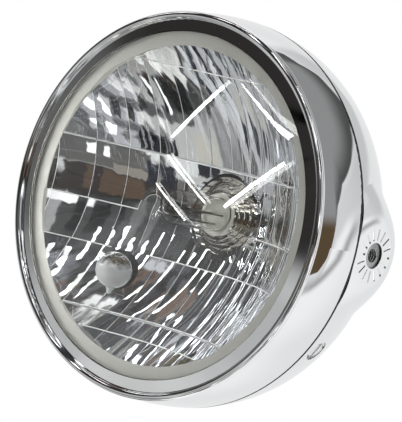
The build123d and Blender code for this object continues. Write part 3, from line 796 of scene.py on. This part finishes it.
def wire_piece(name, runs, radius, material):
    """One piece of round wires along runs of points."""
    curve = bpy.data.curves.new(name, "CURVE")
    curve.dimensions = "3D"
    curve.bevel_depth = radius
    curve.bevel_resolution = WIRE_ROUNDNESS
    for points, closed in runs:
        spline = curve.splines.new("POLY")
        spline.points.add(len(points) - 1)
        spline.use_cyclic_u = closed
        for knot, place in zip(spline.points, points):
            knot.co = (*place, 1.0)
    curve.materials.append(material)
    piece = bpy.data.objects.new(name, curve)
    scene.collection.objects.link(piece)
    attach(piece, "root")
    return piece


def whole_runs(lines):
    """Stretches of the lines that lie on the mirror."""
    for line in lines:
        run = []
        for point in [*line, None]:
            if point and on_mirror(point[0], point[2]):
                run.append(point)
                continue
            if len(run) > 1:
                yield run, False
            run = []


def add_ridges():
    """Rounded edges of the mirror's cells, in a pale colour that paints the highlights along them."""
    material = finish_material("mirror_ridge_highlights", RIDGE_HIGHLIGHT_COLOUR, **RIDGE_HIGHLIGHT_FINISH)
    wire_piece("mirror_row_ridges", whole_runs(row_lines()), ROW_RIDGE, material)
    wire_piece("mirror_column_ridges", whole_runs(column_lines()), COLUMN_RIDGE, material)


def lathe(name, profile, place, material):
    """Piece turned from a profile of radius and travel; place carries radius, angle and travel to a point."""
    count = LATHE_STEPS
    angles = [step * math.tau / count for step in range(count)]
    points = [place(radius, angle, travel) for radius, travel in profile for angle in angles]
    faces = []
    for row in range(len(profile) - 1):
        for step in range(count):
            here, there = row * count + step, row * count + (step + 1) % count
            faces.append((here, there, there + count, here + count))
    piece = new_mesh(name, points, faces)
    piece.data.materials.append(material)
    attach(piece, "root")
    return piece


def smooth(piece):
    """Smooth shading all over a piece."""
    for polygon in piece.data.polygons:
        polygon.use_smooth = True


def add_bulb_details(materials):
    """Stepped collar round the main bulb's foot, and the sealed tip of the position bulb."""
    def round_axis(radius, angle, depth):
        return radius * math.cos(angle), depth - DEPTH_ORIGIN, radius * math.sin(angle)

    lathe("bulb_steps", (*BULB_STEPS, BULB_STEPS[0]), round_axis, materials["bulb_metal"])
    x, y, z = position_globe()

    def under_globe(radius, angle, drop):
        return x + radius * math.cos(angle), y + radius * math.sin(angle), z - drop

    pip = lathe("position_pip", PIP, under_globe, materials["position_glass"])
    smooth(pip)
    # The mirror under the globe shows the studio, not the globe
    for glass in (pip, nodes["position_glass"]):
        glass.visible_glossy = False


def add_pad_shoulders(material):
    """Smooth swelling of the bowl up to the rim of each side pad."""
    turns, rings = PAD_TURNS, PAD_RINGS
    room = PAD_SETBACK - SHOULDER - SINK
    points = []
    faces = []
    for side in (1, -1):
        first = len(points)
        for turn in range(turns):
            angle = turn * math.tau / turns
            ahead, up = math.cos(angle), math.sin(angle)
            reach = min(PAD_REACH, room / ahead) if ahead > 0 else PAD_REACH
            for ring in range(rings + 1):
                radius = PAD_RADIUS + (reach - PAD_RADIUS) * ring / rings
                share = (radius - PAD_RADIUS) / (PAD_REACH - PAD_RADIUS)
                depth = PAD_SETBACK - radius * ahead
                bowl = BOWL_RADIUS * math.sqrt(1 - ((depth - SHOULDER) / BOWL_DEPTH) ** 2)
                surface = math.sqrt(bowl * bowl - (radius * up) ** 2)
                swell = (1 - share) ** 2 * (1 + 2 * share)
                out = surface + (PAD_FACE - surface) * swell
                if ring == rings and reach == PAD_REACH:
                    out -= SINK
                points.append((side * out, depth - DEPTH_ORIGIN, radius * up))
        for turn in range(turns):
            for ring in range(rings):
                near = first + turn * (rings + 1) + ring
                far = first + (turn + 1) % turns * (rings + 1) + ring
                face = (near, near + 1, far + 1, far)
                faces.append(face if side < 0 else face[::-1])
    shoulders = new_mesh("pad_shoulders", points, faces)
    smooth(shoulders)
    shoulders.data.materials.append(material)
    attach(shoulders, "root")


def add_fixings(materials):
    """Lip of the seal in the seam, and the threads of both side nuts."""
    angles = [step * math.tau / SEAM_STEPS for step in range(SEAM_STEPS)]
    seam = SEAM_DEPTH - DEPTH_ORIGIN
    ring = [(SEAM_RADIUS * math.cos(angle), seam, SEAM_RADIUS * math.sin(angle)) for angle in angles]
    wire_piece("seam_lip", [(ring, True)], SEAM_LIP, materials["black_rubber"])
    threads = []
    for mount in frame["record"]["mounts"]:
        if mount["kind"] != "threaded_hole":
            continue
        middle, y, z = mount["pos_m"]
        inward = -mount["axis"][0]
        face = middle - inward * mount["dims"]["length_mm"] * MILLIMETRE / 2
        threads.append(([
            (
                face + inward * (THREAD_WIRE + step / THREAD_STEPS * THREAD_PITCH),
                y + THREAD_RADIUS * math.cos(step * math.tau / THREAD_STEPS),
                z + THREAD_RADIUS * math.sin(step * math.tau / THREAD_STEPS),
            )
            for step in range(THREAD_TURNS * THREAD_STEPS + 1)
        ], False))
    wire_piece("mount_threads", threads, THREAD_WIRE, materials["zinc_steel"])


# Tubes of the studio that the domed glass mirrors: both ends in pixels of the picture, and width at each end
TUBES = (
    ((172, 137), (224, 86), 3.0, 3.5),
    ((242, 84), (288, 139), 1.2, 5.0),
    ((224, 207), (285, 163), 4.2, 4.2),
    ((168, 155), (205, 203), 2.4, 2.4),
    ((156, 183), (185, 220), 1.8, 2.2),
)


def glass_mirror(column, row):
    """Point on the domed glass that a pixel shows, and the direction that it mirrors."""
    ray = pixel_ray(column, row)
    centre = Vector((0.0, LENS_APEX + LENS_SPHERE, 0.0))
    out = EYE - centre
    along = ray.dot(out)
    travel = -along - math.sqrt(along * along - out.length_squared + LENS_SPHERE * LENS_SPHERE)
    point = EYE + ray * travel
    normal = (point - centre).normalized()
    return point, ray - normal * 2.0 * ray.dot(normal)


def add_tubes():
    """Bright strips in front of the lamp, each where its mirror image falls on the glass."""
    material, make = node_material("tube")
    glow = make.add("ShaderNodeEmission")
    glow.inputs["Strength"].default_value = STRIP_RADIANCE
    make.surface(glow)
    glass = bpy.data.collections.new("glass")
    glass.objects.link(nodes["lens"])
    for number, (start, end, start_width, end_width) in enumerate(TUBES, 1):
        run = Vector(end) - Vector(start)
        across = Vector((-run.y, run.x)).normalized() / 2
        corners = []
        for pixel in (
            Vector(start) - across * start_width,
            Vector(start) + across * start_width,
            Vector(end) + across * end_width,
            Vector(end) - across * end_width,
        ):
            point, direction = glass_mirror(*pixel)
            corners.append(point + direction * STRIP_DISTANCE)
        tube = new_mesh(f"tube_{number}", corners, [(0, 1, 2, 3)])
        tube.data.materials.append(material)
        tube.visible_camera = False
        tube.visible_diffuse = False
        tube.visible_shadow = False
        tube.light_linking.receiver_collection = glass


scene.view_settings.view_transform = "Standard"
scene.cycles.max_bounces = LIGHT_BOUNCES
scene.cycles.glossy_bounces = LIGHT_BOUNCES
scene.cycles.transmission_bounces = LIGHT_BOUNCES
add_camera()
studio_world()
add_floor()
add_fill()
add_tubes()
materials = dress_nodes()
add_ridges()
add_bulb_details(materials)
add_pad_shoulders(materials["bucket_chrome"])
add_fixings(materials)
